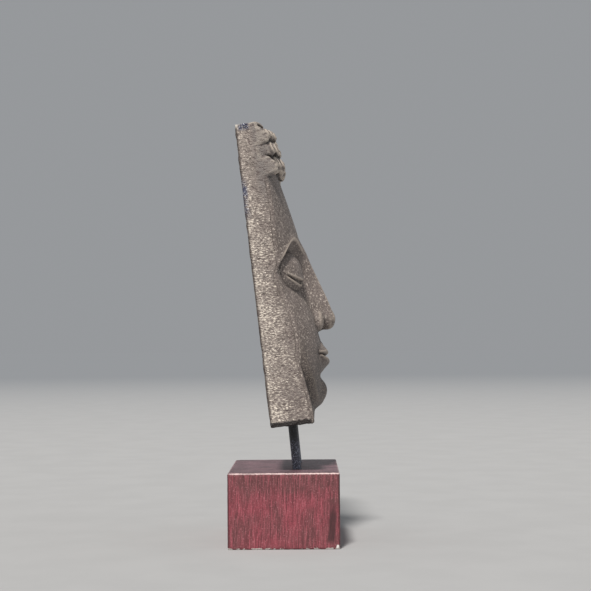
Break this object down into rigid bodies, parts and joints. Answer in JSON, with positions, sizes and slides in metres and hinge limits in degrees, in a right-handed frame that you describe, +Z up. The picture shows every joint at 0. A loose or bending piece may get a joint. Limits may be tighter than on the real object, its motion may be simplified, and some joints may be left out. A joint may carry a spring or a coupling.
{
  "type": "face relief sculpture on stand",
  "caption": "Carved stone face relief with curled hair and lowered eyelids, a flat-backed slab leaning back on steel rods over a painted wooden block.",
  "frame": {"origin": "middle of the block's underside, on the surface that the object stands on", "axes": "+Z up, +Y to the slab's flat back, so the face looks along -Y, and X across the face"},
  "size_m": [0.112, 0.074, 0.2832],
  "materials": {
    "stone": "rough, speckled",
    "rod_steel": "satin black",
    "painted_wood": "brushed red paint"
  },
  "bodies": {
    "root": {"face_relief": "stone", "rod_left": "rod_steel", "rod_right": "rod_steel", "block": "painted_wood"}
  },
  "joints": []
}
